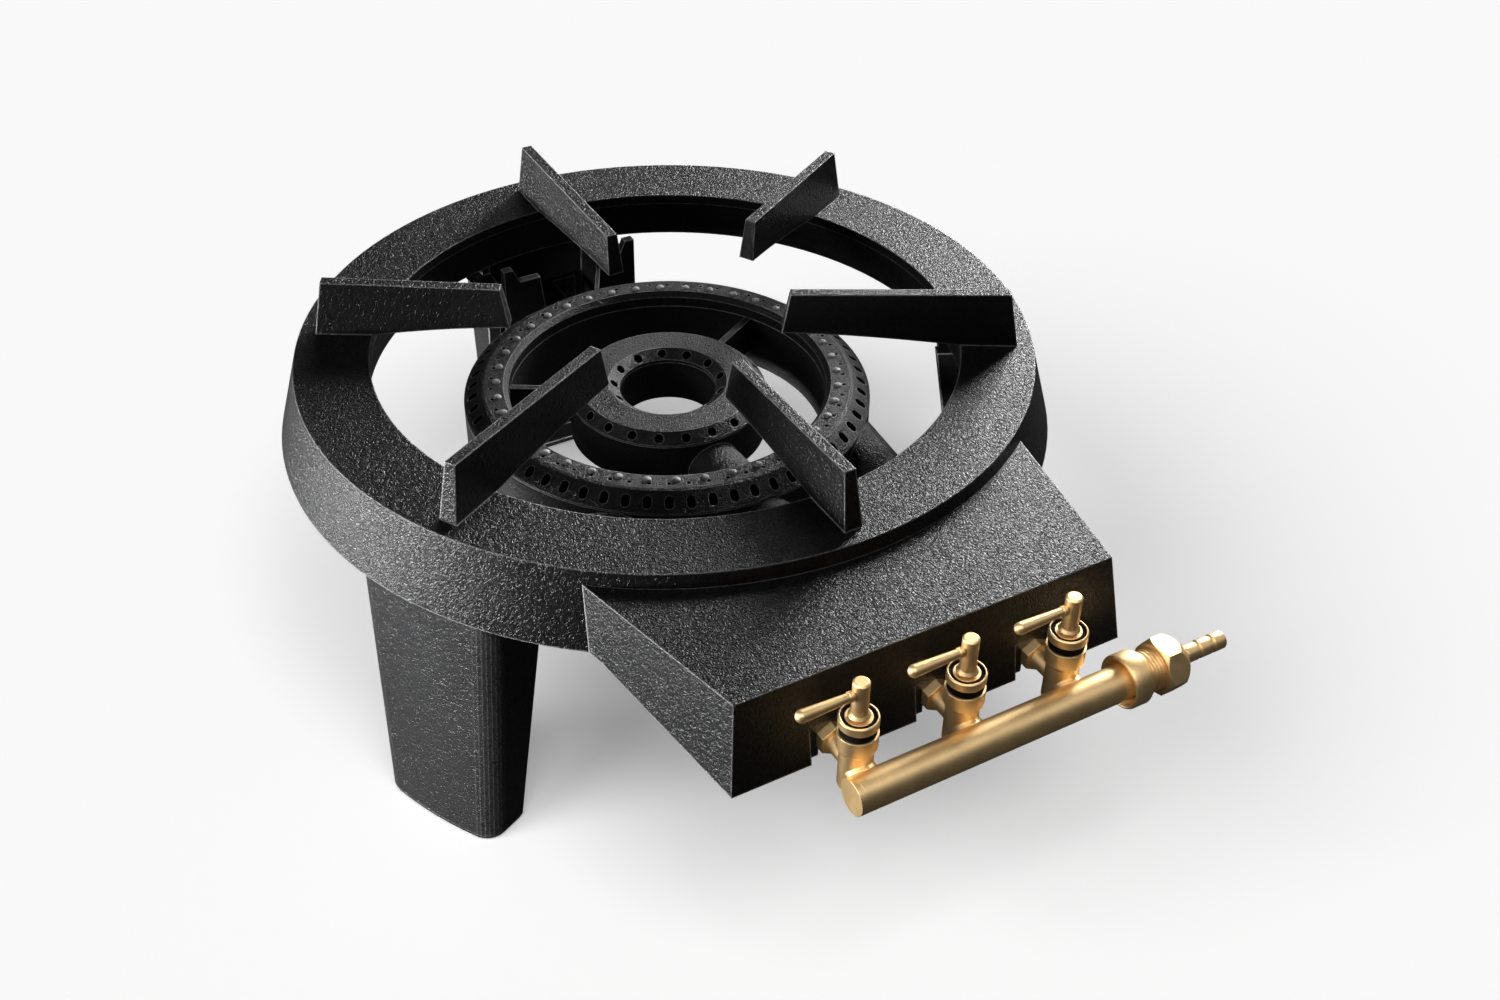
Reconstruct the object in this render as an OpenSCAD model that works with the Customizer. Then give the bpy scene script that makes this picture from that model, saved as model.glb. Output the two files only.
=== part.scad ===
// Cast iron gas stove: flat ring with six pan supports on three hollow legs,
// a two-ring burner, a control hood and a brass gas train with three taps.
// Millimetres, +Z up, floor at z = 0. The ring's axis stands at y = frame_y.

/* [Top ring] */
// Outer diameter of the flat ring
ring_od = 400; // [340:1:460]
// Inner diameter of the flat ring
ring_id = 320; // [290:1:340]
// Height of the ring's top face above the floor
ring_h = 198; // [180:1:260]
// Thickness of the ring plate
ring_t = 6; // [4:0.5:10]
// Drop of the skirt below the ring's top face
skirt_drop = 40; // [32:1:60]
// Outward lean of the skirt from top to bottom
skirt_flare = 11.5; // [4:0.5:18]
// Wall of the skirt
skirt_t = 7; // [4:0.5:10]
// Drop of the ring's inner wall below its top face
wall_drop = 28.5; // [20:0.5:30]
// Set-back of the inner wall from the ring's inner edge
wall_set = 4; // [2:0.5:5]
// Thickness of the inner wall
wall_t = 6; // [4:0.5:6.5]
// Diameter of the cast bosses that take the bolts
boss_d = 18; // [15:0.5:24]

/* [Pan supports] */
// Height of a pan support at its outer end, above the ring
fin_h = 31; // [20:0.5:45]
// Height lost from the outer end to the tip
fin_fall = 2.3; // [0:0.1:6]
// Diameter across the outer top corners
fin_od = 370; // [340:1:390]
// Outward lean of the outer end from top to foot
fin_lean = 6; // [0:0.5:10]
// Gap across the tips of the three long supports, taken through the ring's axis
fin_long_gap = 133; // [90:1:200]
// Gap across the tips of the two short supports, taken through the ring's axis
fin_short_gap = 178; // [120:1:240]
// The same gap for the middling support above the hood
fin_front_gap = 156; // [110:1:220]
// Thickness along the top edge
fin_top_t = 6; // [4:0.5:10]
// Thickness at the foot
fin_foot_t = 10; // [6:0.5:16]
// Depth of the tip, top to bottom
fin_tip_depth = 23; // [14:0.5:28]
// Inward lean of the tip from top to bottom
fin_tip_lean = 4; // [0:0.5:8]

/* [Legs] */
// Width of a leg under the skirt
leg_w_top = 88; // [80:1:104]
// Width of a leg at the floor
leg_w_bot = 76; // [60:1:88]
// Radial depth of a leg under the skirt
leg_depth_top = 46; // [36:1:60]
// Radial depth of a leg at the floor
leg_depth_bot = 27; // [22:1:44]
// Outward lean of a leg's face, from the skirt down to the floor
leg_lean = 7.5; // [0:0.5:7.5]
// Angle of the front legs to either side of the hood
leg_spread = 64.4; // [60:0.2:70]
// Fillet where a leg's sides run out under the ring
leg_fillet = 7; // [3:0.5:9]
// Wall of the leg's side flanges
leg_wall = 8; // [5:0.5:10]
// Wall of the leg's outer face at its middle
leg_face_t = 12; // [10:0.5:16]
// Thickness of the sole
leg_sole_t = 6; // [4:0.5:12]
// Thickness of the flange on top of the leg
leg_flange_t = 8; // [5:0.5:12]
// Radius of the leg's upright corners
leg_corner_r = 12; // [6:0.5:16]
// Radius around the sole
leg_toe_r = 4; // [1:0.5:6]
// Depth of the ring's leg bosses under the plate
leg_boss_h = 14; // [8:0.5:18]
// Distance of the leg bolts in from the leg's face
leg_bolt_in = 26; // [22:0.5:32]
// Spacing of the two bolts on a leg
leg_bolt_gap = 48; // [40:1:56]

/* [Control hood] */
// Drop of the hood's top below the ring's top
hood_drop = 7; // [4:0.5:12]
// Width of the hood where it passes the ring's front
hood_w = 223.6; // [210:0.2:250]
// Reach of the hood's top edge past the ring's front
hood_reach = 59; // [45:1:80]
// Angle at which the right side narrows towards the front
hood_taper = 10.5; // [0:0.5:14]
// How much further the left side stands out where it passes the ring's front
hood_left_out = 4.4; // [0:0.2:8]
// Angle at which the left side narrows towards the front
hood_left_taper = 12.9; // [0:0.1:16]
// Outward lean of the sides, in degrees
hood_side_draft = 8.4; // [0:0.2:12]
// Height of the front wall
hood_front_h = 47; // [40:0.5:60]
// Forward lean of the front wall's foot
hood_front_lean = 8.5; // [0:0.5:12]
// Wall of the sides and front
hood_wall = 7; // [5:0.5:9]
// Wall of the top
hood_top_t = 6; // [4:0.5:10]
// Thickness of the hood's bolting tabs
hood_tab_t = 8; // [5:0.5:12]
// Spacing of the two bolts that hold the hood
hood_bolt_gap = 176; // [170:1:184]
// Distance of those bolts forward of the ring's axis
hood_bolt_y = 148; // [144:1:152]

/* [Burners] */
// Outer diameter of the outer burner
outer_od = 226; // [210:1:240]
// Inner diameter of the outer burner
outer_id = 176.6; // [160:0.2:184]
// Outer diameter of the inner burner
inner_od = 110; // [100:1:120]
// Diameter of the hole through the inner burner
inner_id = 54; // [44:1:60]
// Drop of the seam between burner bodies and caps, below the ring's top
seam_drop = 36; // [28:0.5:40]
// Depth of the outer burner's body
outer_body_h = 32; // [30:0.5:40]
// Depth of the inner burner's body
inner_body_h = 24; // [18:0.5:28]
// Wall of the burner bodies
burner_wall = 4.5; // [3.5:0.25:6]
// Crown of the outer cap above the seam
outer_crown = 9; // [7:0.5:12]
// Crown of the inner cap above the seam
inner_crown = 6.5; // [5.5:0.5:9]
// Depth of the lip that centres a cap in its body
cap_lip = 3; // [2:0.5:5]
// Flame ports round the outer cap
outer_ports = 60; // [40:1:64]
// Flame ports round the outside of the inner cap
inner_ports = 22; // [14:1:26]
// Flame ports round the hole of the inner cap
core_ports = 13; // [8:1:16]
// Diameter of the inner cap's ports
port_d = 5.2; // [3:0.1:6]
// Width of the outer cap's oval ports
slot_w = 4.6; // [3:0.1:5.6]
// Length of those ports, up the slope
slot_l = 7; // [6:0.1:8]
// Diameter of the small pilot holes on the outer cap
pilot_d = 2.4; // [1.5:0.1:3]
// Outer diameter of the mixing tubes
tube_od = 30; // [26:0.5:31]
// Wall of the mixing tubes
tube_wall = 3.5; // [2.5:0.25:4.5]
// Spacing of the two outer mixing tubes where they meet the burner
tube_end_gap = 150; // [130:1:160]
// Diameter of the bell at a tube's mouth
bell_d = 36; // [32:0.5:42]
// Thickness of the webs between the burners
web_t = 4; // [3:0.5:6]
// Thickness of the lugs that hang the outer tubes from the hood's bolts
lug_t = 6; // [4:0.5:8]

/* [Burner bracket] */
// Plate thickness of the bracket
bracket_t = 5; // [4:0.5:8]
// Width of the bracket's arm
bracket_w = 24; // [20:1:32]
// Height of the upright ears beside the burner
ear_h = 48; // [40:1:52]
// Width across the two ears
ear_span = 86; // [70:1:90]
// Width of the notch between them
ear_gap = 40; // [30:1:48]
// Distance of the ears from the burner's side
ear_off = 15; // [6:0.5:18]
// Spacing of the two bolts that hold the bracket
bracket_bolt_gap = 40; // [34:1:42]

/* [Taps] */
// Spacing of the three taps
tap_pitch = 56; // [50:0.5:60]
// Distance of the taps in front of the hood's top edge
tap_reach = 26; // [24:0.5:34]
// Height of the gas line below the ring's top
gas_drop = 43; // [40:0.5:46]
// Diameter of a tap's lower barrel
tap_neck_d = 15.6; // [14.5:0.1:18]
// Diameter of a tap's upper barrel
tap_body_d = 18.6; // [17:0.1:22]
// Height of the upper barrel
tap_body_h = 8.2; // [8:0.1:14]
// Height of the upper barrel's foot above the gas line
tap_body_up = 13.5; // [12:0.5:18]
// Diameter of a tap's cap
tap_cap_d = 18.3; // [17.5:0.1:22]
// Height of the cap
tap_cap_h = 4.5; // [3.5:0.1:8]
// Thickness of the seal under the cap
tap_seal_h = 4.6; // [2:0.1:5]
// Diameter of the taper plug at its top
plug_d = 11.8; // [11:0.1:12]
// Diameter of the spindle
stem_d = 7.8; // [7:0.1:8.6]
// Height of the spindle above the cap
stem_h = 20; // [15:0.5:28]
// Distance of the lever below the spindle's top
lever_drop = 6.7; // [5:0.1:9]
// Length of the lever from the tap's axis
lever_l = 32; // [24:0.5:42]
// Diameter of the lever's round end
lever_d = 6; // [4:0.1:7]
// Diameter of the lever where it enters the spindle
lever_root_d = 3.8; // [3:0.1:4.4]
// Diameter of the threaded tail through the hood
tail_d = 10; // [9:0.1:11]
// Across-flats size of the tail's nuts
tail_nut_af = 14; // [14:0.5:19]
// Thickness of the tail's nuts
tail_nut_h = 5; // [4:0.25:7]
// Bore for the gas
gas_bore_d = 5; // [3:0.1:5.6]

/* [Gas inlet] */
// Outer diameter of the manifold pipe
pipe_od = 17.4; // [15:0.1:20]
// Wall of the manifold pipe
pipe_wall = 2; // [1.5:0.1:3]
// Distance of the pipe in front of the taps
pipe_reach = 15.3; // [14:0.1:18]
// Length of pipe past the last tap, towards the inlet
pipe_run = 30; // [22:1:50]
// Length of pipe past the first tap, at the closed end
pipe_stub = 8.5; // [8:0.5:20]
// Diameter of the inlet collar
collar_d = 26.6; // [25.5:0.1:32]
// Width of the inlet collar
collar_w = 12; // [8:0.5:16]
// Rim of the inlet collar round its sunk mouth
collar_lip = 1.6; // [1.2:0.1:3]
// Depth of the inlet collar's mouth
collar_sink = 4; // [2:0.5:5]
// Diameter of the inlet thread
thread_d = 20.6; // [18:0.1:21]
// Length of the inlet thread
thread_l = 15; // [12:0.5:24]
// Across-flats size of the union nut
union_af = 25; // [24:0.5:30]
// Length of the union nut
union_l = 17; // [16:0.5:22]
// Diameter of the hose nozzle's lands
barb_d = 9; // [8.4:0.1:10]
// Diameter of the hose nozzle between lands
barb_neck_d = 7.2; // [6.4:0.1:8]
// Bore of the hose nozzle
barb_bore_d = 5; // [3:0.1:5.4]
// Length of the hose nozzle outside the nut
barb_l = 25; // [19:0.5:32]
// Width of the grooves between the hose nozzle's lands
land_groove = 1.4; // [0.8:0.1:2]

/* [Fasteners and fits] */
// Shank diameter of the leg and hood bolts
m8_d = 8; // [6:0.5:9]
// Across-flats size of their heads
m8_af = 13; // [11:0.5:15]
// Shank diameter of the bracket and burner bolts
m6_d = 6; // [5:0.5:6.5]
// Across-flats size of their heads
m6_af = 10; // [8:0.5:11]
// Height of all bolt heads
head_h = 5; // [4:0.25:6]
// Gap between pieces that are bolted or pressed together
seat_gap = 0.05; // [0.02:0.01:0.1]
// Radial gap of the turning plugs and spindles
run_gap = 0.08; // [0.03:0.01:0.1]
// Free gap round castings that don't touch
cast_gap = 0.6; // [0.3:0.1:1]

/* [Hidden] */
$fn = 64;
IRON = [0.17, 0.17, 0.175];
BURNER = [0.13, 0.13, 0.135];
BRASS = [0.80, 0.62, 0.33];
STEEL = [0.45, 0.45, 0.46];
SEAL = [0.05, 0.05, 0.05];
leg_angles = [90, -90 - leg_spread, -90 + leg_spread];
tap_xs = [-tap_pitch, 0, tap_pitch];
eps = 0.5;

// Ring and skirt
r_out = ring_od / 2;
r_in = ring_id / 2;
skirt_r = r_out + skirt_flare;
skirt_z = ring_h - skirt_drop;
skirt_slope = skirt_flare / skirt_drop;
plate_z = ring_h - ring_t;
wall_z = ring_h - wall_drop;
wall_r = r_in + wall_set;
function skirt_r_at(z) = r_out + (ring_h - z) * skirt_slope;

// Pan supports
fin_r = fin_od / 2;
fin_side = atan((fin_foot_t - fin_top_t) / 2 / fin_h);

// Legs
leg_r = skirt_r - skirt_t - cast_gap;
leg_top_z = plate_z - leg_boss_h;
leg_pocket_x = leg_r - leg_face_t;
leg_bolt_x = leg_r - leg_bolt_in;
leg_grow = (leg_w_top - leg_w_bot) / skirt_z;
function leg_w_at(z) = leg_w_bot + z * leg_grow;
function leg_face_at(z) = leg_r + leg_lean * (1 - z / skirt_z);
function leg_back_at(z) = leg_face_at(z) - leg_depth_bot - z * (leg_depth_top - leg_depth_bot) / skirt_z;

// Gas line
gas_z = ring_h - gas_drop;
hood_top_z = ring_h - hood_drop;
hood_z = hood_top_z - hood_front_h;
hood_front_y = -r_out - hood_reach;
hood_low_w = hood_w / 2 + (hood_top_z - skirt_z) * tan(hood_side_draft);
hood_meet_y = -sqrt(pow(skirt_r, 2) - pow(hood_low_w, 2));
function hood_front_at(z) = hood_front_y - (hood_top_z - z) * hood_front_lean / hood_front_h;
tap_y = hood_front_y - tap_reach;
pipe_y = tap_y - pipe_reach;
frame_y = (max(collar_d, union_af / cos(30)) / 2 - pipe_y - max(skirt_r, leg_face_at(0))) / 2;

// Hood
window_w = hood_w - 16;
window_z = hood_top_z - hood_top_t - 5;
tab_z = window_z - hood_tab_t;
pad_z = gas_z + tail_nut_af / 2 + 2;
pad_face_y = hood_front_at(pad_z);
pad_back_y = pad_face_y + hood_wall + 1.6;
pad_w = tail_nut_af + 8;

// Burners
seam_z = ring_h - seam_drop;
outer_r = outer_od / 2;
outer_ri = outer_id / 2;
inner_r = inner_od / 2;
inner_ri = inner_id / 2;
outer_z = seam_z - outer_body_h;
inner_z = seam_z - inner_body_h;
outer_mid_r = (outer_r + outer_ri) / 2;
tube_r = tube_od / 2;
tube_bore = tube_r - tube_wall;
jet_gap = 12;
mouth_y = pad_back_y + tail_nut_h + jet_gap;
tube_end_x = tube_end_gap / 2;
tube_end_y = -sqrt(outer_r * outer_r - tube_end_x * tube_end_x);
tube_end_z = outer_z + tube_r + 1;
tube_splay = atan((tube_end_x - tap_pitch) / (tube_end_y - mouth_y));
tube_run = (tube_end_y - mouth_y) / cos(tube_splay);
tube_tilt = atan((gas_z - tube_end_z) / tube_run);
tube_l = tube_run / cos(tube_tilt);
tube_open = 16;
core_tube_l = (-inner_ri - burner_wall - 6 - mouth_y) / cos(tube_tilt);
burner_boss_h = 12;
port_l = 12;
lug_x = tap_pitch + (-hood_bolt_y - mouth_y) * tan(tube_splay);
lug_z = tab_z - seat_gap - lug_t;

// Bracket
shelf_z = outer_z - bracket_t;
ear_r = outer_r + ear_off;
ear_z = shelf_z + ear_h;

// Taps
barrel_z = gas_z - 10;
body_z = gas_z + tap_body_up;
body_top = body_z + tap_body_h;
cap_z = body_top + tap_seal_h;
cap_top = cap_z + tap_cap_h;
stem_top = cap_top + stem_h;
lever_z = stem_top - lever_drop;
plug_z = barrel_z + 2.5;
plug_top = body_top - 7;
plug_taper = 0.7 / 24.5;
function plug_r_at(z) = plug_d / 2 - (plug_top - z) * plug_taper;
gland_d = plug_d + 0.6;
gland_z = plug_top + 0.5;
collar_rim = 0.95;
tail_l = pad_back_y + tail_nut_h + 2 - tap_y;
tail_bore_d = gas_bore_d + 1;

// Gas inlet
pipe_x0 = -tap_pitch - pipe_stub;
pipe_x1 = tap_pitch + pipe_run;
pipe_in = 8;
adapter_x = pipe_x1 - pipe_in;
thread_x = adapter_x + collar_w;
thread_end = thread_x + thread_l;
washer_t = 1.5;
flange_t = 3;
thread_grip = 7;
union_x = thread_end - thread_grip;
union_wall_x = thread_end + washer_t + flange_t;
union_corner = union_af / cos(30) / 2 + 0.2;
union_round = union_corner + 0.9;
union_end_r = barb_d / 2 + seat_gap + 0.5;
union_round_x = union_l - sqrt(pow(union_round, 2) - pow(union_end_r, 2));
barb_x = union_x + union_l;
land_pitch = barb_l / 3;
tip_round = 0.8;
spigot_d = gas_bore_d + 3;

module placed() translate([0, frame_y, 0]) children();
module at_tap(x) translate([x, tap_y, 0]) children();
module at_leg(i) rotate([0, 0, leg_angles[i]]) children();

// Rods and tubes laid along an axis
module rod_x(d, l) rotate([0, 90, 0]) cylinder(d = d, h = l);
module rod_y(d, l) rotate([-90, 0, 0]) cylinder(d = d, h = l);
module hex(af, h) cylinder(d = af / cos(30), h = h, $fn = 6);

// Hexagon-head bolt, head under z = 0 and shank above it
module bolt(d, af, l) {
    translate([0, 0, -head_h]) hex(af, head_h);
    translate([0, 0, -1]) cylinder(d = d, h = l + 1);
}

// One pan support, along +X, tapered in thickness from foot to top edge
function fin_arch(tip_r, steps = 8) = [
    for (i = [0 : steps]) let (t = i / steps) [
        tip_r + (r_in - tip_r) * t,
        ring_h + (fin_h - fin_fall - fin_tip_depth) * sin(90 * (1 - t))
    ]
];
module fin_slab() translate([0, fin_foot_t / 2, ring_h]) rotate([fin_side, 0, 0])
    translate([0, -50, -ring_t]) cube([r_out, 50, fin_h + 4 * ring_t]);
module fin(gap) {
    tip_r = gap / 2;
    low_r = tip_r - fin_tip_lean;
    intersection() {
        rotate([90, 0, 0]) linear_extrude(height = 2 * fin_foot_t, center = true) polygon(concat(
            [[tip_r, ring_h + fin_h - fin_fall]], fin_arch(low_r),
            [[r_in, plate_z + 1], [fin_r + fin_lean, plate_z + 1],
             [fin_r + fin_lean, ring_h], [fin_r, ring_h + fin_h]]));
        fin_slab();
        mirror([0, 1, 0]) fin_slab();
    }
}

module leg_bolt_spots() for (s = [-1, 1]) translate([leg_bolt_x, s * leg_bolt_gap / 2, 0]) children();
module hood_bolt_spots() for (s = [-1, 1]) translate([s * hood_bolt_gap / 2, -hood_bolt_y, 0]) children();

// Ring, skirt and pan supports, one casting
module top_ring() color(IRON) placed() difference() {
    union() {
        rotate_extrude($fn = 128) polygon([
            [r_in, plate_z], [wall_r, plate_z], [wall_r, wall_z], [wall_r + wall_t, wall_z],
            [wall_r + wall_t, plate_z], [skirt_r_at(plate_z) - skirt_t, plate_z], [skirt_r - skirt_t, skirt_z],
            [skirt_r, skirt_z], [r_out, ring_h], [r_in, ring_h]]);
        for (i = [0 : 5]) rotate([0, 0, 90 - 60 * i]) fin(
            i == 3 ? fin_front_gap : i % 2 == 0 ? fin_long_gap : fin_short_gap);
        for (i = [0 : 2]) at_leg(i) leg_bolt_spots()
            translate([0, 0, leg_top_z]) cylinder(d = boss_d, h = plate_z + 1 - leg_top_z);
        hood_bolt_spots() translate([0, 0, window_z]) cylinder(d = boss_d, h = plate_z + 1 - window_z);
    }
    translate([-window_w / 2, -skirt_r - 1, skirt_z - 1])
        cube([window_w, skirt_r + 1 - hood_bolt_y + boss_d / 2 + cast_gap, window_z - skirt_z + 1]);
    for (i = [0 : 2]) at_leg(i) leg_bolt_spots()
        translate([0, 0, leg_top_z - 1]) cylinder(d = m8_d + 2 * seat_gap, h = leg_boss_h);
    hood_bolt_spots() translate([0, 0, window_z - 1]) cylinder(d = m8_d + 2 * seat_gap, h = 12);
}

// Hood, open below and behind; w insets its sides, front and top
module hood_half(w, half, taper) translate([half, -r_out, hood_top_z])
    rotate([0, -hood_side_draft, -taper]) translate([-400 - w, -200, -200]) cube(400);
module hood_block(w, top, low) intersection() {
    rotate([90, 0, 90]) linear_extrude(height = 2 * hood_w, center = true) polygon([
        [0, hood_top_z - top], [hood_front_at(hood_top_z - top) + w, hood_top_z - top],
        [hood_front_at(hood_z - low) + w, hood_z - low], [hood_meet_y, skirt_z - low], [0, skirt_z - low]]);
    hood_half(w, hood_w / 2, hood_taper);
    mirror([1, 0, 0]) hood_half(w, hood_w / 2 + hood_left_out, hood_left_taper);
}
module hood_tab(s) intersection() {
    hood_block(1, 1, 0);
    mirror([s < 0 ? 1 : 0, 0, 0]) translate([0, 0, tab_z]) linear_extrude(height = hood_tab_t) polygon([
        [hood_bolt_gap / 2 - boss_d / 2, -hood_bolt_y + boss_d / 2],
        [window_w / 2 - cast_gap, -hood_bolt_y + boss_d / 2],
        [window_w / 2 - cast_gap, -r_out + 14], [hood_w, -r_out + 14],
        [hood_w, -r_out - 14], [hood_bolt_gap / 2 - boss_d / 2, -r_out - 14]]);
}
module control_hood() color(IRON) placed() difference() {
    union() {
        difference() {
            hood_block(0, 0, 0);
            hood_block(hood_wall, hood_top_t, 20);
            translate([0, 0, skirt_z - 30]) cylinder(
                r1 = skirt_r_at(skirt_z - 30) + seat_gap, r2 = r_out + seat_gap, h = ring_h - skirt_z + 30,
                $fn = 128);
        }
        for (s = [-1, 1]) hood_tab(s);
        intersection() {
            hood_block(1, 1, 0);
            for (x = tap_xs) translate([x - pad_w / 2, pad_face_y - hood_front_lean, hood_z - 1])
                cube([pad_w, pad_back_y - pad_face_y + hood_front_lean, pad_z - hood_z + 3]);
        }
    }
    for (x = tap_xs) {
        translate([x - pad_w / 2, pad_face_y - 20, hood_z - 5]) cube([pad_w, 20, pad_z - hood_z + 5]);
        translate([x, pad_face_y - 5, gas_z]) rod_y(tail_d + 2 * cast_gap, 40);
        translate([x - tail_d / 2 - cast_gap, pad_face_y - 5, hood_z - 5])
            cube([tail_d + 2 * cast_gap, 40, gas_z - hood_z + 5]);
    }
    hood_bolt_spots() translate([0, 0, tab_z - 1]) cylinder(d = m8_d + 1, h = hood_tab_t + 2);
}

// Leg along +X: rounded hollow channel, open towards the burner
module leg_level(z, inset) {
    w = leg_w_at(z);
    for (k = [-3 : 3]) {
        y = k / 3 * (w / 2 - leg_corner_r);
        translate([sqrt(pow(leg_face_at(z), 2) - y * y) - leg_corner_r, y, z])
            cylinder(r = leg_corner_r - inset, h = 0.01, $fn = 32);
    }
    translate([leg_back_at(z) + inset, -w / 2 + inset, z]) cube([1, w - 2 * inset, 0.01]);
}
module leg_run_out() intersection() {
    translate([leg_back_at(skirt_z) + 2, leg_w_top / 2 - 1, skirt_z - cast_gap]) rotate([90, 0, 90])
        linear_extrude(height = leg_depth_top) difference() {
            translate([0, -leg_fillet]) square([leg_fillet + 1, leg_fillet]);
            translate([leg_fillet + 1, -leg_fillet]) circle(r = leg_fillet - 0.5);
        }
    cylinder(r = leg_r - 1, h = ring_h);
}
module leg_casting() difference() {
    union() {
        hull() {
            leg_level(0, leg_toe_r * 0.7);
            leg_level(leg_toe_r * 0.3, leg_toe_r * 0.25);
            leg_level(leg_toe_r, 0);
            leg_level(skirt_z - cast_gap, 0);
        }
        intersection() {
            rotate([90, 0, 90]) linear_extrude(height = leg_r) polygon([
                for (z = [skirt_z - 10, leg_top_z]) [-leg_w_at(z) / 2 + 3, z],
                for (z = [leg_top_z, skirt_z - 10]) [leg_w_at(z) / 2 - 3, z]]);
            translate([0, 0, skirt_z - 10]) cylinder(
                r1 = leg_r - 4, r2 = leg_r - 4 - (leg_top_z - skirt_z) * skirt_slope,
                h = leg_top_z - skirt_z + 10);
            translate([wall_r + wall_t + cast_gap, -leg_w_top, 0])
                cube([leg_depth_top + 10, 2 * leg_w_top, ring_h]);
        }
        for (s = [0, 1]) mirror([0, s, 0]) leg_run_out();
    }
    intersection() {
        rotate([90, 0, 90]) linear_extrude(height = leg_r) polygon([
            for (z = [leg_sole_t, leg_top_z - leg_flange_t]) [-leg_w_at(z) / 2 + leg_wall, z],
            for (z = [leg_top_z - leg_flange_t, leg_sole_t]) [leg_w_at(z) / 2 - leg_wall, z]]);
        rotate([90, 0, 0]) linear_extrude(height = 2 * leg_w_top, center = true) polygon([
            [0, 0], [leg_pocket_x + leg_lean, 0], [leg_pocket_x, shelf_z - 20], [leg_pocket_x, ring_h], [0, ring_h]]);
    }
    leg_bolt_spots() translate([0, 0, leg_top_z - leg_flange_t - 1]) cylinder(d = m8_d + 1, h = leg_flange_t + 2);
}
module leg_back() color(IRON) placed() at_leg(0) difference() {
    leg_casting();
    bracket_bolt_spots() translate([-1, 0, 0]) rod_x(m6_d + 2 * seat_gap, 9.5);
}
module leg_front_left() color(IRON) placed() at_leg(1) leg_casting();
module leg_front_right() color(IRON) placed() at_leg(2) leg_casting();

module leg_bolts() color(STEEL) placed() for (i = [0 : 2]) at_leg(i) leg_bolt_spots()
    translate([0, 0, leg_top_z - leg_flange_t]) bolt(m8_d, m8_af, leg_flange_t + leg_boss_h - 3);
module hood_bolts() color(STEEL) placed() hood_bolt_spots()
    translate([0, 0, lug_z]) bolt(m8_d, m8_af, lug_t + hood_tab_t + 9);

// Bracket along +X: flange on the back leg, arm under the outer burner, upright ears beside it
module bracket_bolt_spots() for (s = [-1, 1])
    translate([leg_pocket_x, s * bracket_bolt_gap / 2, shelf_z - 7]) children();
module bracket_ear() translate([ear_r, 0, 0]) rotate([90, 0, 90]) linear_extrude(height = bracket_t) polygon([
    [-1, shelf_z], [ear_span / 2, shelf_z], [ear_span / 2, ear_z + 9], [ear_span / 2 - 6, ear_z + 9],
    [ear_span / 2 - 10, ear_z], [ear_gap / 2, ear_z], [ear_gap / 2 - 4, shelf_z + 2 * bracket_t],
    [-1, shelf_z + 2 * bracket_t]]);
module burner_bracket() color(IRON) placed() at_leg(0) difference() {
    union() {
        translate([leg_pocket_x - bracket_t - seat_gap, -bracket_bolt_gap / 2 - 8, shelf_z - 15])
            cube([bracket_t, bracket_bolt_gap + 16, 15 + bracket_t]);
        translate([outer_ri + 4, -bracket_w / 2, shelf_z])
            cube([leg_pocket_x - bracket_t - outer_ri - 3, bracket_w, bracket_t]);
        for (s = [0, 1]) mirror([0, s, 0]) bracket_ear();
    }
    bracket_bolt_spots() translate([-bracket_t - 2, 0, 0]) rod_x(m6_d + 0.6, bracket_t + 4);
    translate([outer_mid_r, 0, shelf_z - 1]) cylinder(d = m6_d + 0.6, h = bracket_t + 2);
}

module bracket_bolts() color(STEEL) placed() at_leg(0) bracket_bolt_spots()
    translate([-bracket_t - seat_gap, 0, 0]) rotate([0, 90, 0]) bolt(m6_d, m6_af, bracket_t + 7);
module burner_bolt() color(STEEL) placed() at_leg(0)
    translate([outer_mid_r, 0, shelf_z]) bolt(m6_d, m6_af, bracket_t + burner_boss_h - 3);

// Mixing tubes from their mouths in the hood: the inner burner's runs straight, the outer two splay
module core_tube(d, l) translate([0, mouth_y, gas_z]) rotate([-tube_tilt, 0, 0]) rod_y(d, l);
module side_tubes(d, l) for (s = [0, 1]) mirror([s, 0, 0])
    translate([tap_pitch, mouth_y, gas_z]) rotate([-tube_tilt, 0, -tube_splay]) rod_y(d, l);

// Lugs on the outer tubes, held under the hood's tabs
module tube_lugs() for (s = [0, 1]) mirror([s, 0, 0]) translate([lug_x - 8, -hood_bolt_y - boss_d / 2, 0]) {
    translate([0, 0, lug_z]) cube([hood_bolt_gap / 2 + boss_d / 2 - lug_x + 8, boss_d, lug_t]);
    translate([0, 0, tube_end_z]) cube([14, boss_d, lug_z + lug_t - tube_end_z]);
}

// Open annular trough of a burner
module trough(r0, r1, z) rotate_extrude($fn = 96) polygon([
    [r0, z], [r1, z], [r1, seam_z], [r1 - burner_wall, seam_z], [r1 - burner_wall, z + burner_wall],
    [r0 + burner_wall, z + burner_wall], [r0 + burner_wall, seam_z], [r0, seam_z]]);
module trough_space(r0, r1, z) translate([0, 0, z + burner_wall]) difference() {
    cylinder(r = r1 - burner_wall / 2, h = seam_z - z, $fn = 96);
    translate([0, 0, -1]) cylinder(r = r0 + burner_wall / 2, h = seam_z - z + 2, $fn = 96);
}

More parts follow.
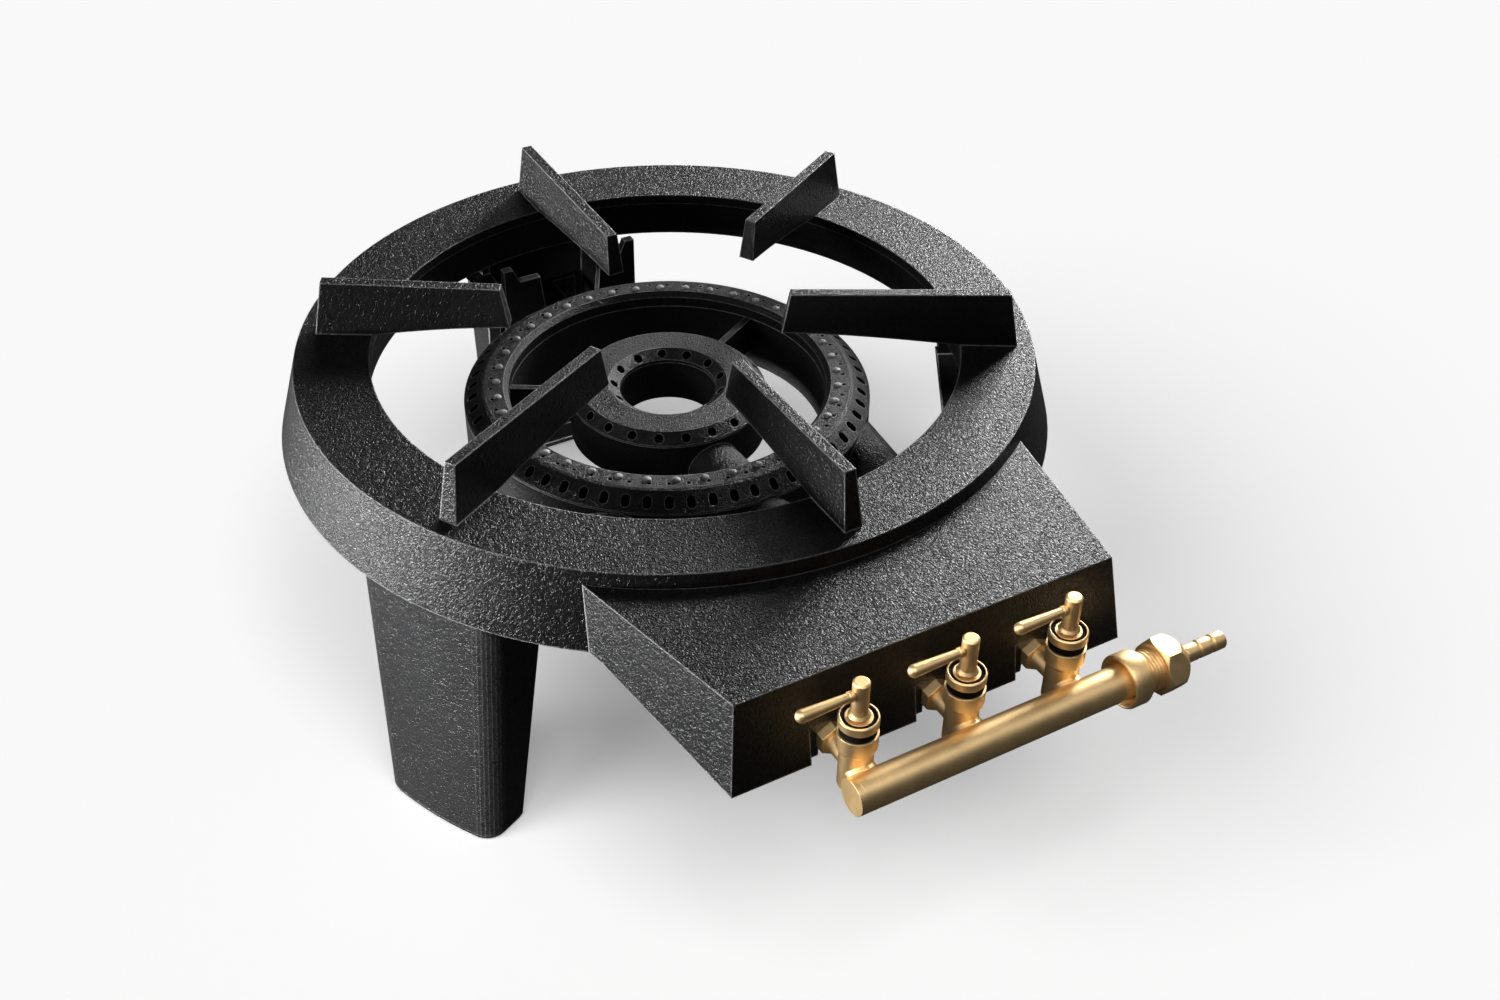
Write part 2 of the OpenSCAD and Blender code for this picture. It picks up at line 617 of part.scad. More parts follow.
module outer_burner_body() color(BURNER) placed() difference() {
    union() {
        trough(outer_ri, outer_r, outer_z);
        at_leg(0) translate([outer_mid_r, 0, outer_z]) cylinder(d = 2 * m6_d, h = burner_boss_h);
        difference() {
            union() {
                side_tubes(tube_od, tube_l + tube_od);
                side_tubes(bell_d, 8);
            }
            translate([0, 0, outer_z - 5]) cylinder(r = outer_r - burner_wall / 2, h = outer_body_h + 10, $fn = 96);
        }
        tube_lugs();
    }
    side_tubes(2 * tube_bore, tube_l + tube_open);
    core_tube(tube_od + 2 * seat_gap, core_tube_l);
    at_leg(0) translate([outer_mid_r, 0, outer_z - 1])
        cylinder(d = m6_d + 2 * seat_gap, h = burner_boss_h - 1);
    hood_bolt_spots() translate([0, 0, lug_z - 1]) cylinder(d = m8_d + 1, h = lug_t + 2);
}

module inner_burner_body() color(BURNER) placed() difference() {
    union() {
        trough(inner_ri, inner_r, inner_z);
        difference() {
            union() {
                core_tube(tube_od, core_tube_l);
                core_tube(bell_d, 8);
            }
            trough_space(inner_ri, inner_r, inner_z);
        }
        for (a = [30, 150]) rotate([0, 0, a]) intersection() {
            translate([inner_r - 2, -web_t / 2, inner_z + 2]) cube([outer_ri, web_t, inner_body_h - 2]);
            cylinder(r = outer_ri - seat_gap, h = seam_z, $fn = 96);
        }
    }
    core_tube(2 * tube_bore, core_tube_l - burner_wall);
}

// Slanted flame ports on a cone: centre radius and height, slope of the cone's face
module ports(count, r, z, lean, d) for (i = [0 : count - 1])
    rotate([0, 0, (i + 0.5) * 360 / count]) translate([r, 0, z]) rotate([0, lean, 0])
        cylinder(d = d, h = port_l, center = true, $fn = 24);
module slots(count, r, z, lean) for (i = [0 : count - 1])
    rotate([0, 0, (i + 0.5) * 360 / count]) translate([r, 0, z]) rotate([0, lean, 0])
        linear_extrude(height = port_l, center = true) {
            for (s = [-1, 1]) translate([s * (slot_l - slot_w) / 2, 0]) circle(d = slot_w, $fn = 24);
            square([slot_l - slot_w, slot_w], center = true);
        }

outer_slope_w = 10;
inner_slope_w = 6;
module outer_burner_cap() color(BURNER) placed() difference() {
    rotate_extrude($fn = 96) polygon([
        [outer_ri, seam_z], [outer_ri, seam_z + outer_crown - 3], [outer_ri + 2.7, seam_z + outer_crown],
        [outer_r - outer_slope_w - 1.5, seam_z + outer_crown],
        [outer_r - outer_slope_w, seam_z + outer_crown - 0.5], [outer_r, seam_z + 1], [outer_r, seam_z],
        [outer_r - burner_wall - seat_gap, seam_z], [outer_r - burner_wall - seat_gap, seam_z - cap_lip],
        [outer_r - burner_wall - 3, seam_z - cap_lip], [outer_r - burner_wall - 3, seam_z + 0.5],
        [outer_r - outer_slope_w - 2, seam_z + outer_crown - 5],
        [outer_ri + burner_wall + 3, seam_z + outer_crown - 5],
        [outer_ri + burner_wall + 3, seam_z - cap_lip], [outer_ri + burner_wall + seat_gap, seam_z - cap_lip],
        [outer_ri + burner_wall + seat_gap, seam_z]]);
    slots(outer_ports, outer_r - outer_slope_w / 2, seam_z + outer_crown / 2,
        atan(outer_slope_w / (outer_crown - 1.5)) - 10);
    ports(outer_ports, outer_ri + burner_wall + 5, seam_z + outer_crown, 0, pilot_d);
    core_tube(tube_od + 2 * cast_gap, core_tube_l);
}
module inner_burner_cap() color(BURNER) placed() difference() {
    rotate_extrude($fn = 96) polygon([
        [inner_ri, seam_z], [inner_ri, seam_z + 2], [inner_ri + inner_slope_w, seam_z + inner_crown],
        [inner_r - inner_slope_w, seam_z + inner_crown], [inner_r, seam_z + 1], [inner_r, seam_z],
        [inner_r - burner_wall - seat_gap, seam_z], [inner_r - burner_wall - seat_gap, seam_z - cap_lip],
        [inner_r - burner_wall - 3, seam_z - cap_lip], [inner_r - burner_wall - 3, seam_z + inner_crown - 5],
        [inner_ri + burner_wall + 3, seam_z + inner_crown - 5],
        [inner_ri + burner_wall + 3, seam_z - cap_lip], [inner_ri + burner_wall + seat_gap, seam_z - cap_lip],
        [inner_ri + burner_wall + seat_gap, seam_z]]);
    ports(inner_ports, inner_r - inner_slope_w / 2, seam_z + inner_crown / 2 + 0.5, 45, port_d);
    ports(core_ports, inner_ri + inner_slope_w / 2, seam_z + inner_crown / 2 + 1, -45, port_d);
}

// Gas line at pipe height
module on_pipe(x) translate([x, pipe_y, gas_z]) children();
module manifold_pipe() color(BRASS) placed() difference() {
    on_pipe(pipe_x0) rod_x(pipe_od, pipe_x1 - pipe_x0);
    on_pipe(pipe_x0 - 1) rod_x(pipe_od - 2 * pipe_wall, pipe_x1 - pipe_x0 + 2);
    for (x = tap_xs) on_pipe(x) rod_y(spigot_d + 2 * seat_gap, pipe_od);
}
module manifold_end_cap() color(BRASS) placed() {
    on_pipe(pipe_x0 - 3) rod_x(pipe_od, 3);
    on_pipe(pipe_x0 - 1) rod_x(pipe_od - 2 * pipe_wall - 2 * seat_gap, 4);
}
module inlet_adapter() color(BRASS) placed() difference() {
    union() {
        on_pipe(adapter_x) rotate([0, 90, 0]) rotate_extrude() polygon([
            [0, collar_sink], [pipe_od / 2 + seat_gap, collar_sink], [collar_d / 2 - collar_lip, 0],
            [collar_d / 2 - 1, 0], [collar_d / 2, 1], [collar_d / 2, collar_w - 1.5],
            [collar_d / 2 - 1.5, collar_w], [0, collar_w]]);
        on_pipe(thread_x - 1) rod_x(thread_d, thread_l + 1);
    }
    on_pipe(adapter_x - 1) rod_x(pipe_od + 2 * seat_gap, pipe_in + 1);
    on_pipe(adapter_x) rod_x(pipe_od - 2 * pipe_wall, collar_w + thread_l + 1);
}
module union_nut() color(BRASS) placed() difference() {
    on_pipe(union_x) rotate([0, 90, 0]) intersection() {
        rotate([0, 0, 30]) hex(union_af, union_l);
        union() {
            cylinder(r1 = union_af / 2 - 0.3, r2 = union_corner, h = 2);
            translate([0, 0, 2]) cylinder(r = union_corner, h = union_l);
        }
        translate([0, 0, union_round_x]) sphere(r = union_round);
    }
    on_pipe(union_x - 1) rod_x(thread_d + 2 * seat_gap, union_wall_x - union_x + 1);
    on_pipe(union_x) rod_x(barb_d + 2 * seat_gap, union_l + 1);
}
module hose_nozzle() color(BRASS) placed() on_pipe(0) difference() {
    union() {
        translate([thread_end + washer_t, 0, 0]) rod_x(thread_d - 1, flange_t - seat_gap);
        translate([thread_end + washer_t, 0, 0]) rod_x(barb_d, barb_x - thread_end - washer_t);
        translate([barb_x - 1, 0, 0]) rod_x(barb_neck_d, barb_l);
        for (i = [0 : 2]) translate([barb_x + i * land_pitch + land_groove, 0, 0])
            rod_x(barb_d, land_pitch - land_groove - (i == 2 ? tip_round : 0));
        translate([barb_x + barb_l - tip_round, 0, 0]) rotate([0, 90, 0])
            cylinder(d1 = barb_d, d2 = barb_d - 2 * tip_round, h = tip_round);
    }
    translate([thread_end, 0, 0]) rod_x(barb_bore_d, 2 * barb_l + barb_x - thread_end);
}
module nozzle_washer() color(SEAL) placed() on_pipe(thread_end + seat_gap) difference() {
    rod_x(thread_d - 1, washer_t - 2 * seat_gap);
    translate([-1, 0, 0]) rod_x(pipe_od - 2 * pipe_wall, washer_t + 2);
}

// Tap pieces on their own axis
module tap_body() difference() {
    union() {
        difference() {
            union() {
                translate([0, 0, barrel_z]) cylinder(d = tap_neck_d, h = body_z - 2.5 - barrel_z);
                translate([0, 0, body_z - 2.5]) cylinder(d1 = tap_neck_d, d2 = tap_body_d, h = 2.5);
                translate([0, 0, body_z]) cylinder(d = tap_body_d, h = tap_body_h);
                translate([0, -pipe_reach, gas_z]) rod_y(tap_neck_d - 1, pipe_reach);
                translate([0, 0, gas_z]) rod_y(tail_d, tail_l);
            }
            translate([-tap_pitch / 2, -pipe_reach, gas_z]) rod_x(pipe_od + 2 * seat_gap, tap_pitch);
        }
        translate([0, -pipe_reach + pipe_od / 2 - pipe_wall, gas_z]) rod_y(spigot_d, pipe_reach - pipe_od / 2 + 1);
    }
    translate([0, 0, plug_z - 0.5]) cylinder(
        r1 = plug_r_at(plug_z - 0.5) + run_gap, r2 = plug_r_at(gland_z) + run_gap, h = gland_z - plug_z + 0.5);
    translate([0, 0, gland_z]) cylinder(d = gland_d + 2 * seat_gap, h = body_top);
    translate([0, -pipe_reach, gas_z]) rod_y(gas_bore_d, pipe_reach + tail_l + 1);
    translate([0, tail_l - 6, gas_z]) rod_y(tail_bore_d, 7);
}
module tap_plug() difference() {
    union() {
        translate([0, 0, plug_z]) cylinder(r1 = plug_r_at(plug_z), r2 = plug_d / 2, h = plug_top - plug_z);
        translate([0, 0, plug_top - 1]) cylinder(d = stem_d, h = stem_top - plug_top + 0.2);
        translate([0, 0, stem_top - 0.8]) cylinder(d1 = stem_d, d2 = stem_d - 1.6, h = 0.8);
        translate([0, 0, cap_top + cast_gap]) cylinder(d1 = stem_d + 2.4, d2 = stem_d - 0.2, h = 1.8);
    }
    translate([-plug_d, 0, gas_z]) rod_x(gas_bore_d, 2 * plug_d);
    translate([-stem_d, 0, lever_z]) rod_x(lever_root_d + 2 * seat_gap, stem_d + 1);
}
module tap_lever() translate([0, 0, lever_z]) rotate([0, -90, 0]) {
    cylinder(d = lever_root_d, h = stem_d);
    translate([0, 0, stem_d / 2 + seat_gap]) cylinder(d = lever_root_d + 1.2, h = 2);
    translate([0, 0, stem_d / 2 + 1]) cylinder(
        d1 = lever_root_d + 0.2, d2 = lever_d, h = lever_l - lever_d / 2 - stem_d / 2 - 1);
    translate([0, 0, lever_l - lever_d / 2]) intersection() {
        sphere(d = lever_d);
        cylinder(d = lever_d, h = lever_d);
    }
}
module tap_cap() difference() {
    union() {
        translate([0, 0, cap_z]) cylinder(d = tap_cap_d, h = tap_cap_h - 0.6);
        translate([0, 0, cap_top - 0.6]) cylinder(d1 = tap_cap_d, d2 = tap_cap_d - 1.2, h = 0.6);
        translate([0, 0, gland_z]) cylinder(d = gland_d, h = cap_z - gland_z + 1);
    }
    translate([0, 0, cap_top - 2.2]) difference() {
        cylinder(d = tap_cap_d - 2 * collar_rim, h = 3);
        cylinder(d = gland_d, h = 1.7);
    }
    translate([0, 0, gland_z - 1]) cylinder(d = stem_d + 2 * run_gap, h = cap_top);
}
module tap_seals() {
    translate([0, 0, body_top]) difference() {
        cylinder(d = tap_cap_d - 1.6, h = tap_seal_h);
        translate([0, 0, -1]) cylinder(d = gland_d + 2 * seat_gap, h = tap_seal_h + 2);
    }
    translate([0, 0, cap_top - 2.2]) difference() {
        cylinder(d = tap_cap_d - 2 * collar_rim - 2 * seat_gap, h = 1.2);
        translate([0, 0, -1]) cylinder(d = gland_d + 2 * seat_gap, h = 4);
    }
}
module tap_left_body() color(BRASS) placed() at_tap(tap_xs[0]) tap_body();
module tap_left_plug() color(BRASS) placed() at_tap(tap_xs[0]) tap_plug();
module tap_left_lever() color(BRASS) placed() at_tap(tap_xs[0]) tap_lever();
module tap_left_cap() color(BRASS) placed() at_tap(tap_xs[0]) tap_cap();
module tap_left_seals() color(SEAL) placed() at_tap(tap_xs[0]) tap_seals();
module tap_mid_body() color(BRASS) placed() at_tap(tap_xs[1]) tap_body();
module tap_mid_plug() color(BRASS) placed() at_tap(tap_xs[1]) tap_plug();
module tap_mid_lever() color(BRASS) placed() at_tap(tap_xs[1]) tap_lever();
module tap_mid_cap() color(BRASS) placed() at_tap(tap_xs[1]) tap_cap();
module tap_mid_seals() color(SEAL) placed() at_tap(tap_xs[1]) tap_seals();
module tap_right_body() color(BRASS) placed() at_tap(tap_xs[2]) tap_body();
module tap_right_plug() color(BRASS) placed() at_tap(tap_xs[2]) tap_plug();
module tap_right_lever() color(BRASS) placed() at_tap(tap_xs[2]) tap_lever();
module tap_right_cap() color(BRASS) placed() at_tap(tap_xs[2]) tap_cap();
module tap_right_seals() color(SEAL) placed() at_tap(tap_xs[2]) tap_seals();

// Nuts on the threaded tails, either side of the hood's front wall
module tail_nut() rotate([-90, 0, 0]) difference() {
    rotate([0, 0, 30]) hex(tail_nut_af, tail_nut_h);
    translate([0, 0, -1]) cylinder(d = tail_d + 2 * seat_gap, h = tail_nut_h + 2);
}
module tap_lock_nuts() color(BRASS) placed() for (x = tap_xs)
    translate([x, pad_face_y - tail_nut_h, gas_z]) tail_nut();
module tap_back_nuts() color(BRASS) placed() for (x = tap_xs)
    translate([x, pad_back_y, gas_z]) tail_nut();
module gas_jets() color(BRASS) placed() for (x = tap_xs)
    translate([x, tap_y + tail_l, gas_z]) rotate([-90, 0, 0]) difference() {
        union() {
            translate([0, 0, -5]) cylinder(d = tail_bore_d - 2 * seat_gap, h = 6);
            translate([0, 0, 0]) hex(tail_d, 4);
            translate([0, 0, 4]) cylinder(d1 = tail_d - 2, d2 = tail_d - 5, h = 4);
        }
        translate([0, 0, -6]) cylinder(d = tail_bore_d - 2.5, h = 11);
        translate([0, 0, 4]) cylinder(d = 1.2, h = 5, $fn = 16);
    }

top_ring();
control_hood();
leg_back();
leg_front_left();
leg_front_right();
leg_bolts();
hood_bolts();
burner_bracket();
bracket_bolts();
burner_bolt();
outer_burner_body();
outer_burner_cap();
inner_burner_body();
inner_burner_cap();
manifold_pipe();
manifold_end_cap();
inlet_adapter();
union_nut();
hose_nozzle();
nozzle_washer();
tap_left_body();
tap_left_plug();
tap_left_lever();
tap_left_cap();
tap_left_seals();
tap_mid_body();
tap_mid_plug();
tap_mid_lever();
tap_mid_cap();
tap_mid_seals();
tap_right_body();
tap_right_plug();
tap_right_lever();
tap_right_cap();
tap_right_seals();
tap_lock_nuts();
tap_back_nuts();
gas_jets();
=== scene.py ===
"""Cast iron gas stove: finishes, turned brass details, floor, lights and camera."""

import math

import bmesh
import bpy
from bpy.props import FloatProperty, FloatVectorProperty, IntProperty, PointerProperty
from mathutils import Matrix, Vector


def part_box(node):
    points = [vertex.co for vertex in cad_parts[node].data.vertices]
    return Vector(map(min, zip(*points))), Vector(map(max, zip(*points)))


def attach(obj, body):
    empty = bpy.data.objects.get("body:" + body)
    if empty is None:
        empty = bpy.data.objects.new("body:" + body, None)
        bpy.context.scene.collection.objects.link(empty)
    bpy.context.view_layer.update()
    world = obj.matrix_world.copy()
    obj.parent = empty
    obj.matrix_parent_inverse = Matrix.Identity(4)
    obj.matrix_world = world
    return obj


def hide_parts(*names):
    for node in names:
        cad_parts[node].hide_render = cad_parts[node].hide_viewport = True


bl_info = {
    "name": "Cast Iron Gas Stove",
    "version": (1, 0, 0),
    "blender": (4, 5, 0),
    "location": "View3D > Sidebar > Stove",
    "description": "Dresses a cast iron gas stove with finishes, turned brass and a studio",
    "category": "Object",
}

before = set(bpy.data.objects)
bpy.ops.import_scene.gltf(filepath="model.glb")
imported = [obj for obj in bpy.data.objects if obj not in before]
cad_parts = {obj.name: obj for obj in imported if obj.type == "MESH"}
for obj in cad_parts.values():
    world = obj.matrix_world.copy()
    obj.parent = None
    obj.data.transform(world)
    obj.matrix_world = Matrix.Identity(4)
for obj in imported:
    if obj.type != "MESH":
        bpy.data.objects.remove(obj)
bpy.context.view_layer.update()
MM = 0.001

# The stove's nodes by finish
TAPS = ("left", "mid", "right")
LEG_NODES = ("leg_back", "leg_front_left", "leg_front_right")
CASTINGS = LEG_NODES + ("top_ring", "control_hood", "burner_bracket")
BURNER_NODES = ("outer_burner_body", "outer_burner_cap", "inner_burner_body", "inner_burner_cap")
BOLT_NODES = ("leg_bolts", "hood_bolts", "bracket_bolts", "burner_bolt")
SEAL_NODES = ("nozzle_washer",) + tuple("tap_%s_seals" % t for t in TAPS)
BRASS_NODES = (
    "manifold_pipe", "manifold_end_cap", "inlet_adapter", "union_nut", "hose_nozzle",
    "tap_lock_nuts", "tap_back_nuts", "gas_jets",
) + tuple("tap_%s_%s" % (t, p) for t in TAPS for p in ("body", "plug", "lever", "cap"))
BRASS_PIECES = ("inlet_collar", "ribbed_nozzle")

# Cast iron: factors on its colour. The grain's tone sets painted shade in the pits and painted highlight
# on the ridges; the edges are lightened for rubbing wear and a painted highlight
PAINTED_PIT_SHADE, PAINTED_RIDGE_HIGHLIGHT, WORN_AND_HIGHLIGHT_SHADE = 0.3, 2.2, 80.0
# Share of the grain's depth that upright faces keep
SIDE_GRAIN = 0.42
# Steepness of the worn edge's mask
EDGE_GAIN = 11.0
# Fine grain of the brass, in features for each metre
BRASS_GRAIN = 2600.0
# Height of a pimple's dome as a share of its radius
PIMPLE_FLAT = 0.62
# Edges of the pieces made here stay sharp from this angle, in degrees
SHARP_FROM = 35.0

# Half the floor's width, in metres
FLOOR_REACH = 20.0
# Upward share of a direction at which the dome's light sets in, and at which it is full
DOME_START, DOME_FULL = 0.3, 0.95
# Studio lights: name, place, width and height in metres, and the setting that holds the watts
LIGHT_TARGET = (0.0, 0.05, 0.15)
SOFTBOXES = (
    ("back softbox", (1.95, 1.18, 1.00), (0.8, 1.1), "back_watts"),
    ("left softbox", (-2.20, 0.40, 1.05), (1.2, 0.6), "left_watts"),
    ("low strip", (-2.13, 0.86, 0.09), (2.0, 0.17), "low_watts"),
    ("high card", (1.05, 1.74, 1.50), (1.0, 0.8), "high_watts"),
    ("front card", (1.76, -0.99, 1.43), (1.1, 1.1), "card_watts"),
)
LEG_LIGHT = ("leg light", (-2.0, -0.75, 0.45), (1.0, 0.6), "leg_watts")
# Overhead lights: name and the direction that each comes from
SKIES = (("left sky", (-0.77, -0.05, 0.64)), ("front sky", (-0.10, -0.46, 0.88)))


def tint(name, description, default):
    """A colour setting"""
    return FloatVectorProperty(
        name=name, description=description, subtype="COLOR", size=3, min=0.0, max=1.0, default=default)


def length(name, description, default):
    """A length setting, in metres"""
    return FloatProperty(
        name=name, description=description, subtype="DISTANCE", unit="LENGTH", default=default, min=0.0,
        precision=5)


def watts(name, description, default):
    """A setting for a light's power"""
    return FloatProperty(name=name, description=description, unit="POWER", default=default, min=0.0)


class StoveFinish(bpy.types.PropertyGroup):
    """Colours and grain of the finishes"""
    iron_color: tint("Iron", "Colour of the black castings", (0.009, 0.009, 0.0094))
    burner_color: tint("Burner iron", "Colour of the burner castings", (0.016, 0.016, 0.0167))
    # The pimples' pale colour is a painted highlight
    pimple_color: tint("Pimples", "Colour of the rubbed pimples on the crown", (0.45, 0.45, 0.46))
    brass_color: tint("Brass", "Colour of the satin brass", (0.90, 0.64, 0.32))
    seal_color: tint("Seals", "Colour of the rubber seals", (0.004, 0.004, 0.004))
    bolt_color: tint("Bolts", "Colour of the blackened bolts", (0.05, 0.05, 0.052))
    grain: FloatProperty(
        name="Grain", description="Cast grain, in features for each metre", default=430.0, min=50.0)
    grain_depth: length("Grain depth", "Depth of the cast grain", 0.00055)
    # The radius also sets how wide the castings' lighter edges are: rubbing wear and a painted highlight
    edge_round: length("Edge rounding", "Radius of the castings' worn edges", 0.0012)
    brass_round: length("Brass rounding", "Radius of the brass's softened edges", 0.0005)


class StoveDetail(bpy.types.PropertyGroup):
    """Sizes of the turned brass and the burner's pimples"""
    pimples: IntProperty(name="Pimples", description="Pimples round the outer crown", default=40, min=3)
    pimple_ring: length("Pimple ring", "Radius of the ring of pimples", 0.0948)
    pimple_size: length("Pimple size", "Radius of a pimple", 0.0024)
    collar_width: length("Collar width", "Width of the inlet's collar", 0.012)
    thread_radius: length("Thread radius", "Radius over the inlet thread's crests", 0.0103)
    thread_pitch: length("Thread pitch", "Pitch of the inlet thread", 0.0018)
    thread_depth: length("Thread depth", "Depth of the inlet thread", 0.0011)
    nozzle_bore: length("Nozzle bore", "Radius of the nozzle's bore", 0.0025)
    nozzle_neck: length("Nozzle neck", "Radius in the grooves between the nozzle's lands", 0.0037)
    nozzle_land: length("Nozzle land", "Radius of the nozzle's lands", 0.0045)
    lands: IntProperty(name="Lands", description="Lands on the nozzle", default=3, min=1)
    groove: length("Groove", "Width of the grooves between the nozzle's lands", 0.0014)
    facets: IntProperty(name="Facets", description="Steps round a turned piece", default=72, min=12)


class StoveStage(bpy.types.PropertyGroup):
    """Camera and studio"""
    ring_height: length("Aim height", "Height of the ring's top above the floor", 0.198)
    azimuth: FloatProperty(name="Azimuth", description="Camera azimuth in degrees", default=-26.84)
    elevation: FloatProperty(name="Elevation", description="Camera elevation in degrees", default=32.75)
    distance: length("Distance", "Camera distance from the ring's centre", 0.935)
    pan: FloatProperty(name="Pan", description="Turn of the view to the side in degrees", default=-3.44)
    tilt: FloatProperty(name="Tilt", description="Turn of the view downwards in degrees", default=5.53)
    roll: FloatProperty(name="Roll", description="Roll of the camera in degrees", default=1.16)
    lens: FloatProperty(name="Lens", description="Focal length in millimetres", default=40.8, min=1.0)
    floor_light: FloatProperty(
        name="Floor light", description="Paleness of the floor's glow and the surroundings",
        default=0.93, min=0.0)
    floor_glow: FloatProperty(
        name="Floor glow", description="Share of its paleness that the floor glows with",
        default=0.266, min=0.0)
    floor_bounce: FloatProperty(
        name="Floor bounce", description="Share of light that the floor throws back",
        default=0.05, min=0.0)
    fill: FloatProperty(name="Dome", description="Light from the dome above", default=0.03, min=0.0)
    back_watts: watts("Back light", "Softbox behind", 78.0)
    left_watts: watts("Left light", "Softbox on the left", 10.0)
    low_watts: watts("Low strip", "Strip on the left, lower than the ring", 98.0)
    high_watts: watts("High card", "Dim card high behind", 5.0)
    leg_watts: watts("Leg light", "Light on the legs alone", 95.0)
    card_watts: watts("Front card", "Dim card at the front", 4.0)
    sky_strength: FloatProperty(
        name="Overhead light", description="Strength of the overhead lights on the floor and the brass",
        default=1.45, min=0.0)
    sky_angle: FloatProperty(
        name="Overhead spread", description="Spread of the overhead lights in degrees",
        default=36.0, min=1.0)


# Shader helpers

def link(tree, a, b):
    """Joins an output socket to an input socket"""
    tree.links.new(a, b)


def feed(tree, value, socket):
    """Gives an input socket a number, or joins another socket to it"""
    if isinstance(value, (int, float)):
        socket.default_value = value
    else:
        link(tree, value, socket)


def maths(tree, operation, a, b=None, clamp=False):
    """Adds a Math node; a and b are sockets or numbers"""
    node = tree.nodes.new("ShaderNodeMath")
    node.operation = operation
    node.use_clamp = clamp
    feed(tree, a, node.inputs[0])
    if b is not None:
        feed(tree, b, node.inputs[1])
    return node.outputs[0]


def weighed(tree, *terms):
    """Adds up sockets, each times its weight"""
    total = None
    for socket, weight in terms:
        part = maths(tree, "MULTIPLY", socket, weight)
        total = part if total is None else maths(tree, "ADD", total, part)
    return total


def blend(tree, factor, a, b):
    """Mixes two colours or sockets by a factor socket"""
    node = tree.nodes.new("ShaderNodeMix")
    node.data_type = "RGBA"
    link(tree, factor, node.inputs["Factor"])
    for name, value in (("A", a), ("B", b)):
        socket = [s for s in node.inputs if s.name == name and s.type == "RGBA"][0]
        if isinstance(value, (tuple, list)):
            socket.default_value = (*value, 1.0)
        else:
            link(tree, value, socket)
    return [s for s in node.outputs if s.type == "RGBA"][0]


def span(tree, socket, low, high):
    """Maps a 0 to 1 socket to a range"""
    node = tree.nodes.new("ShaderNodeMapRange")
    node.inputs["To Min"].default_value = low
    node.inputs["To Max"].default_value = high
    link(tree, socket, node.inputs["Value"])
    return node.outputs["Result"]


def noise(tree, scale, detail, roughness, distortion=0.0):
    """Noise on Object coordinates; its scale is a socket or a number"""
    node = tree.nodes.new("ShaderNodeTexNoise")
    link(tree, tree.nodes.new("ShaderNodeTexCoord").outputs["Object"], node.inputs["Vector"])
    feed(tree, scale, node.inputs["Scale"])
    node.inputs["Detail"].default_value = detail
    node.inputs["Roughness"].default_value = roughness
    node.inputs["Distortion"].default_value = distortion
    return node.outputs["Fac"]


def bumped(tree, bsdf, height, normal, strength, depth):
    """Gives a shader a bump over a normal"""
    bump = tree.nodes.new("ShaderNodeBump")
    bump.inputs["Strength"].default_value = strength
    bump.inputs["Distance"].default_value = depth
    link(tree, height, bump.inputs["Height"])
    link(tree, normal, bump.inputs["Normal"])
    link(tree, bump.outputs["Normal"], bsdf.inputs["Normal"])


# Effects shared between finishes

def new_group(name, setting, outputs):
    """Starts a shader node group with one named setting and named outputs"""
    tree = bpy.data.node_groups.new(name, "ShaderNodeTree")
    tree.interface.new_socket(setting, in_out="INPUT", socket_type="NodeSocketFloat")
    for label, kind in outputs:
        tree.interface.new_socket(label, in_out="OUTPUT", socket_type=kind)
    value = tree.nodes.new("NodeGroupInput").outputs[setting]
    return tree, value, tree.nodes.new("NodeGroupOutput")


def new_skin_group(name, setting):
    """Starts a group that puts out a height, a tone and a gloss mask"""
    masks = [(label, "NodeSocketFloat") for label in ("Height", "Tone", "Gloss")]
    return new_group(name, setting, masks)


def cast_skin_group():
    """Wormy cast grain with a sandy tooth and faint clouds"""
    tree, grain, out = new_skin_group("Cast skin", "Grain")
    worm = noise(tree, grain, detail=1.5, roughness=0.45, distortion=1.1)
    sand = noise(tree, maths(tree, "MULTIPLY", grain, 3.1), detail=2.0, roughness=0.6)
    cloud = noise(tree, 16.0, detail=3.0, roughness=0.55)
    # The worms run where the noise crosses its middle value
    off = maths(tree, "ABSOLUTE", maths(tree, "SUBTRACT", worm, 0.5))
    ridge = maths(tree, "SUBTRACT", 1.0, maths(tree, "MULTIPLY", off, 5.5, clamp=True))
    link(tree, weighed(tree, (ridge, 0.55), (sand, 0.45)), out.inputs["Height"])
    # The tone follows the worm ridges: the iron's colour from it is painted highlight on the ridges and
    # painted shade in the pits, over faint clouds
    link(tree, weighed(tree, (cloud, 0.35), (ridge, 0.65)), out.inputs["Tone"])
    link(tree, weighed(tree, (sand, 0.6), (cloud, 0.4), (ridge, -0.35)), out.inputs["Gloss"])


def rounded_edge_group():
    """Rounded normal at sharp edges and a mask of them, where the finishes lighten the colour for
    rubbing wear and, on the iron, a painted highlight
    """
    tree, radius, out = new_group(
        "Rubbed edge", "Radius", [("Normal", "NodeSocketVector"), ("Edge", "NodeSocketFloat")])
    bevel = tree.nodes.new("ShaderNodeBevel")
    bevel.samples = 6
    link(tree, radius, bevel.inputs["Radius"])
    dot = tree.nodes.new("ShaderNodeVectorMath")
    dot.operation = "DOT_PRODUCT"
    link(tree, bevel.outputs["Normal"], dot.inputs[0])
    link(tree, tree.nodes.new("ShaderNodeNewGeometry").outputs["Normal"], dot.inputs[1])
    turned = maths(tree, "SUBTRACT", 1.0, dot.outputs["Value"])
    link(tree, bevel.outputs["Normal"], out.inputs["Normal"])
    link(tree, maths(tree, "MULTIPLY", turned, EDGE_GAIN, clamp=True), out.inputs["Edge"])


